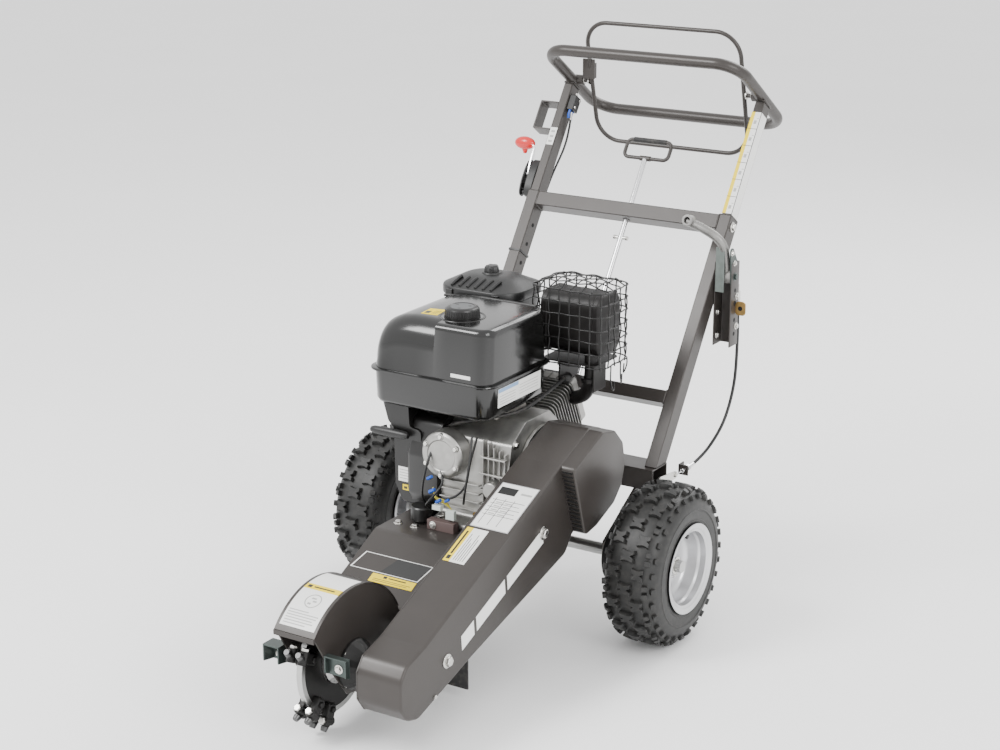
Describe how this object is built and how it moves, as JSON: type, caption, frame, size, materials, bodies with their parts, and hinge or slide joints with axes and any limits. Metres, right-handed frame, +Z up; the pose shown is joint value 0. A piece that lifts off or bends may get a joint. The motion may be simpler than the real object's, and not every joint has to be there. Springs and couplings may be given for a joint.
{
  "type": "stump grinder",
  "caption": "Walk-behind stump grinder: engine on pneumatic wheels, belt-driven toothed cutter wheel under a hinged guard, leaning handle frame with closed grip loop, bail and parking brake.",
  "frame": {"origin": "on the ground, under the middle of the machine's bounding box", "axes": "+Z up, +Y towards the operator's handle, -Y towards the cutter, +X the belt guard's side"},
  "size_m": [0.782, 1.5068, 1.1502],
  "materials": {
    "tyre": "matt moulded rubber with a knobbly tread",
    "rim": "satin silver",
    "bare_steel": "turned, bright",
    "frame_paint": "satin warm grey powder coat",
    "cast_steel": "dark, oiled casting",
    "cast_zinc": "grey casting",
    "cable_black": "black sheath",
    "black_paint": "satin black enamel",
    "black_plastic": "moulded black plastic",
    "chrome": "bright plate",
    "rubber": "matt black sheet rubber",
    "cast_aluminium": "bare die casting"
  },
  "bodies": {
    "chassis": {"axle": "bare_steel", "cover_hinge_pin": "bare_steel", "axle_hanger_left": "frame_paint", "axle_hanger_right": "frame_paint", "cross_beam": "frame_paint", "brake_channel": "frame_paint", "upright_left": "frame_paint", "upright_right": "frame_paint", "handle_tube_left": "frame_paint", "handle_tube_right": "frame_paint", "upper_crossbar": "frame_paint", "lower_crossbar": "frame_paint", "handle_loop": "frame_paint", "strap_bracket": "frame_paint", "arm_plate_left": "frame_paint", "arm_plate_right": "frame_paint", "deck": "frame_paint", "flap_bracket_left": "frame_paint", "flap_bracket_right": "frame_paint", "belt_guard": "frame_paint", "guard_back_plate": "frame_paint", "bearing_inner": "cast_steel", "bearing_outer": "cast_steel", "brake_cable": "cable_black", "throttle_cable": "cable_black", "switch_cable": "cable_black", "valve_cover": "black_paint", "blower_housing": "black_paint", "recoil_cover": "black_paint", "fuel_tank": "black_paint", "muffler": "black_paint", "muffler_cage": "black_paint", "throttle_housing": "black_plastic", "presence_switch": "black_plastic", "air_cleaner_base": "black_plastic", "air_cleaner_lid": "black_plastic", "debris_flap": "rubber", "drive_belt": "rubber", "crankcase": "cast_aluminium", "crankcase_side_cover": "cast_aluminium", "cylinder": "cast_aluminium", "carburettor": "cast_aluminium"},
    "wheel_left": {"tyre_left": "tyre", "rim_left": "rim"},
    "wheel_right": {"tyre_right": "tyre", "rim_right": "rim", "brake_drum": "cast_steel"},
    "cutter": {"cutter_shaft": "bare_steel", "cutter_wheel": "cast_steel", "cutter_pulley": "cast_steel"},
    "crank": {"crankshaft": "bare_steel", "clutch_pulley": "cast_steel"},
    "cover": {"cutter_cover": "frame_paint"},
    "throttle": {"throttle_lever": "chrome"},
    "brake_handle": {"brake_lever": "cast_zinc"},
    "brake_link": {"brake_arm": "bare_steel"},
    "pull_handle": {"pull_rod": "chrome"},
    "bail": {"bail": "frame_paint"},
    "starter_grip": {"recoil_grip": "black_plastic"},
    "tank_cap": {"fuel_cap": "black_plastic"}
  },
  "joints": [
    {"name": "wheel_left_spin", "type": "hinge", "parent": "chassis", "child": "wheel_left", "pos_m": [-0.3265, 0.0365, 0.165], "axis": [1, 0, 0], "continuous": true},
    {"name": "wheel_right_spin", "type": "hinge", "parent": "chassis", "child": "wheel_right", "pos_m": [0.3265, 0.0365, 0.165], "axis": [1, 0, 0], "continuous": true},
    {"name": "cutter_spin", "type": "hinge", "parent": "chassis", "child": "cutter", "pos_m": [0, -0.6235, 0.137], "axis": [1, 0, 0], "continuous": true},
    {"name": "crank_spin", "type": "hinge", "parent": "chassis", "child": "crank", "pos_m": [0, -0.0385, 0.345], "axis": [1, 0, 0], "continuous": true},
    {"name": "cover_hinge", "type": "hinge", "parent": "chassis", "child": "cover", "pos_m": [0, -0.4727, 0.17737], "axis": [-1, 0, 0], "range_deg": [0, 75]},
    {"name": "throttle_turn", "type": "hinge", "parent": "chassis", "child": "throttle", "pos_m": [-0.272, 0.50024, 0.81112], "axis": [1, 0, 0], "range_deg": [0, 50]},
    {"name": "brake_lever_pull", "type": "hinge", "parent": "chassis", "child": "brake_handle", "pos_m": [0.27, 0.4025, 0.67], "axis": [1, 0, 0], "range_deg": [0, 35]},
    {"name": "brake_arm_turn", "type": "hinge", "parent": "chassis", "child": "brake_link", "pos_m": [0.254, 0.1565, 0.285], "axis": [1, 0, 0], "range_deg": [0, 18]},
    {"name": "pull_rod_slide", "type": "slide", "parent": "chassis", "child": "pull_handle", "axis": [0, 0.5577, 0.83], "range_m": [0, 0.035]},
    {"name": "bail_swing", "type": "hinge", "parent": "chassis", "child": "bail", "pos_m": [0, 0.6315, 1.009], "axis": [1, 0, 0], "range_deg": [-25, 25], "stiffness_Nm_per_rad": 3},
    {"name": "starter_pull", "type": "slide", "parent": "chassis", "child": "starter_grip", "axis": [0, -0.9487, 0.3162], "range_m": [0, 0.6], "stiffness_N_per_m": 15, "springref_m": -0.4},
    {"name": "fuel_cap_turn", "type": "hinge", "parent": "chassis", "child": "tank_cap", "pos_m": [-0.047, -0.1195, 0.6573], "axis": [0, 0, 1], "range_deg": [0, 90]}
  ],
  "couplings": [
    {"joint": "crank_spin", "follows": "cutter_spin", "ratio": 1.173},
    {"joint": "brake_arm_turn", "follows": "brake_lever_pull", "ratio": 0.5}
  ]
}
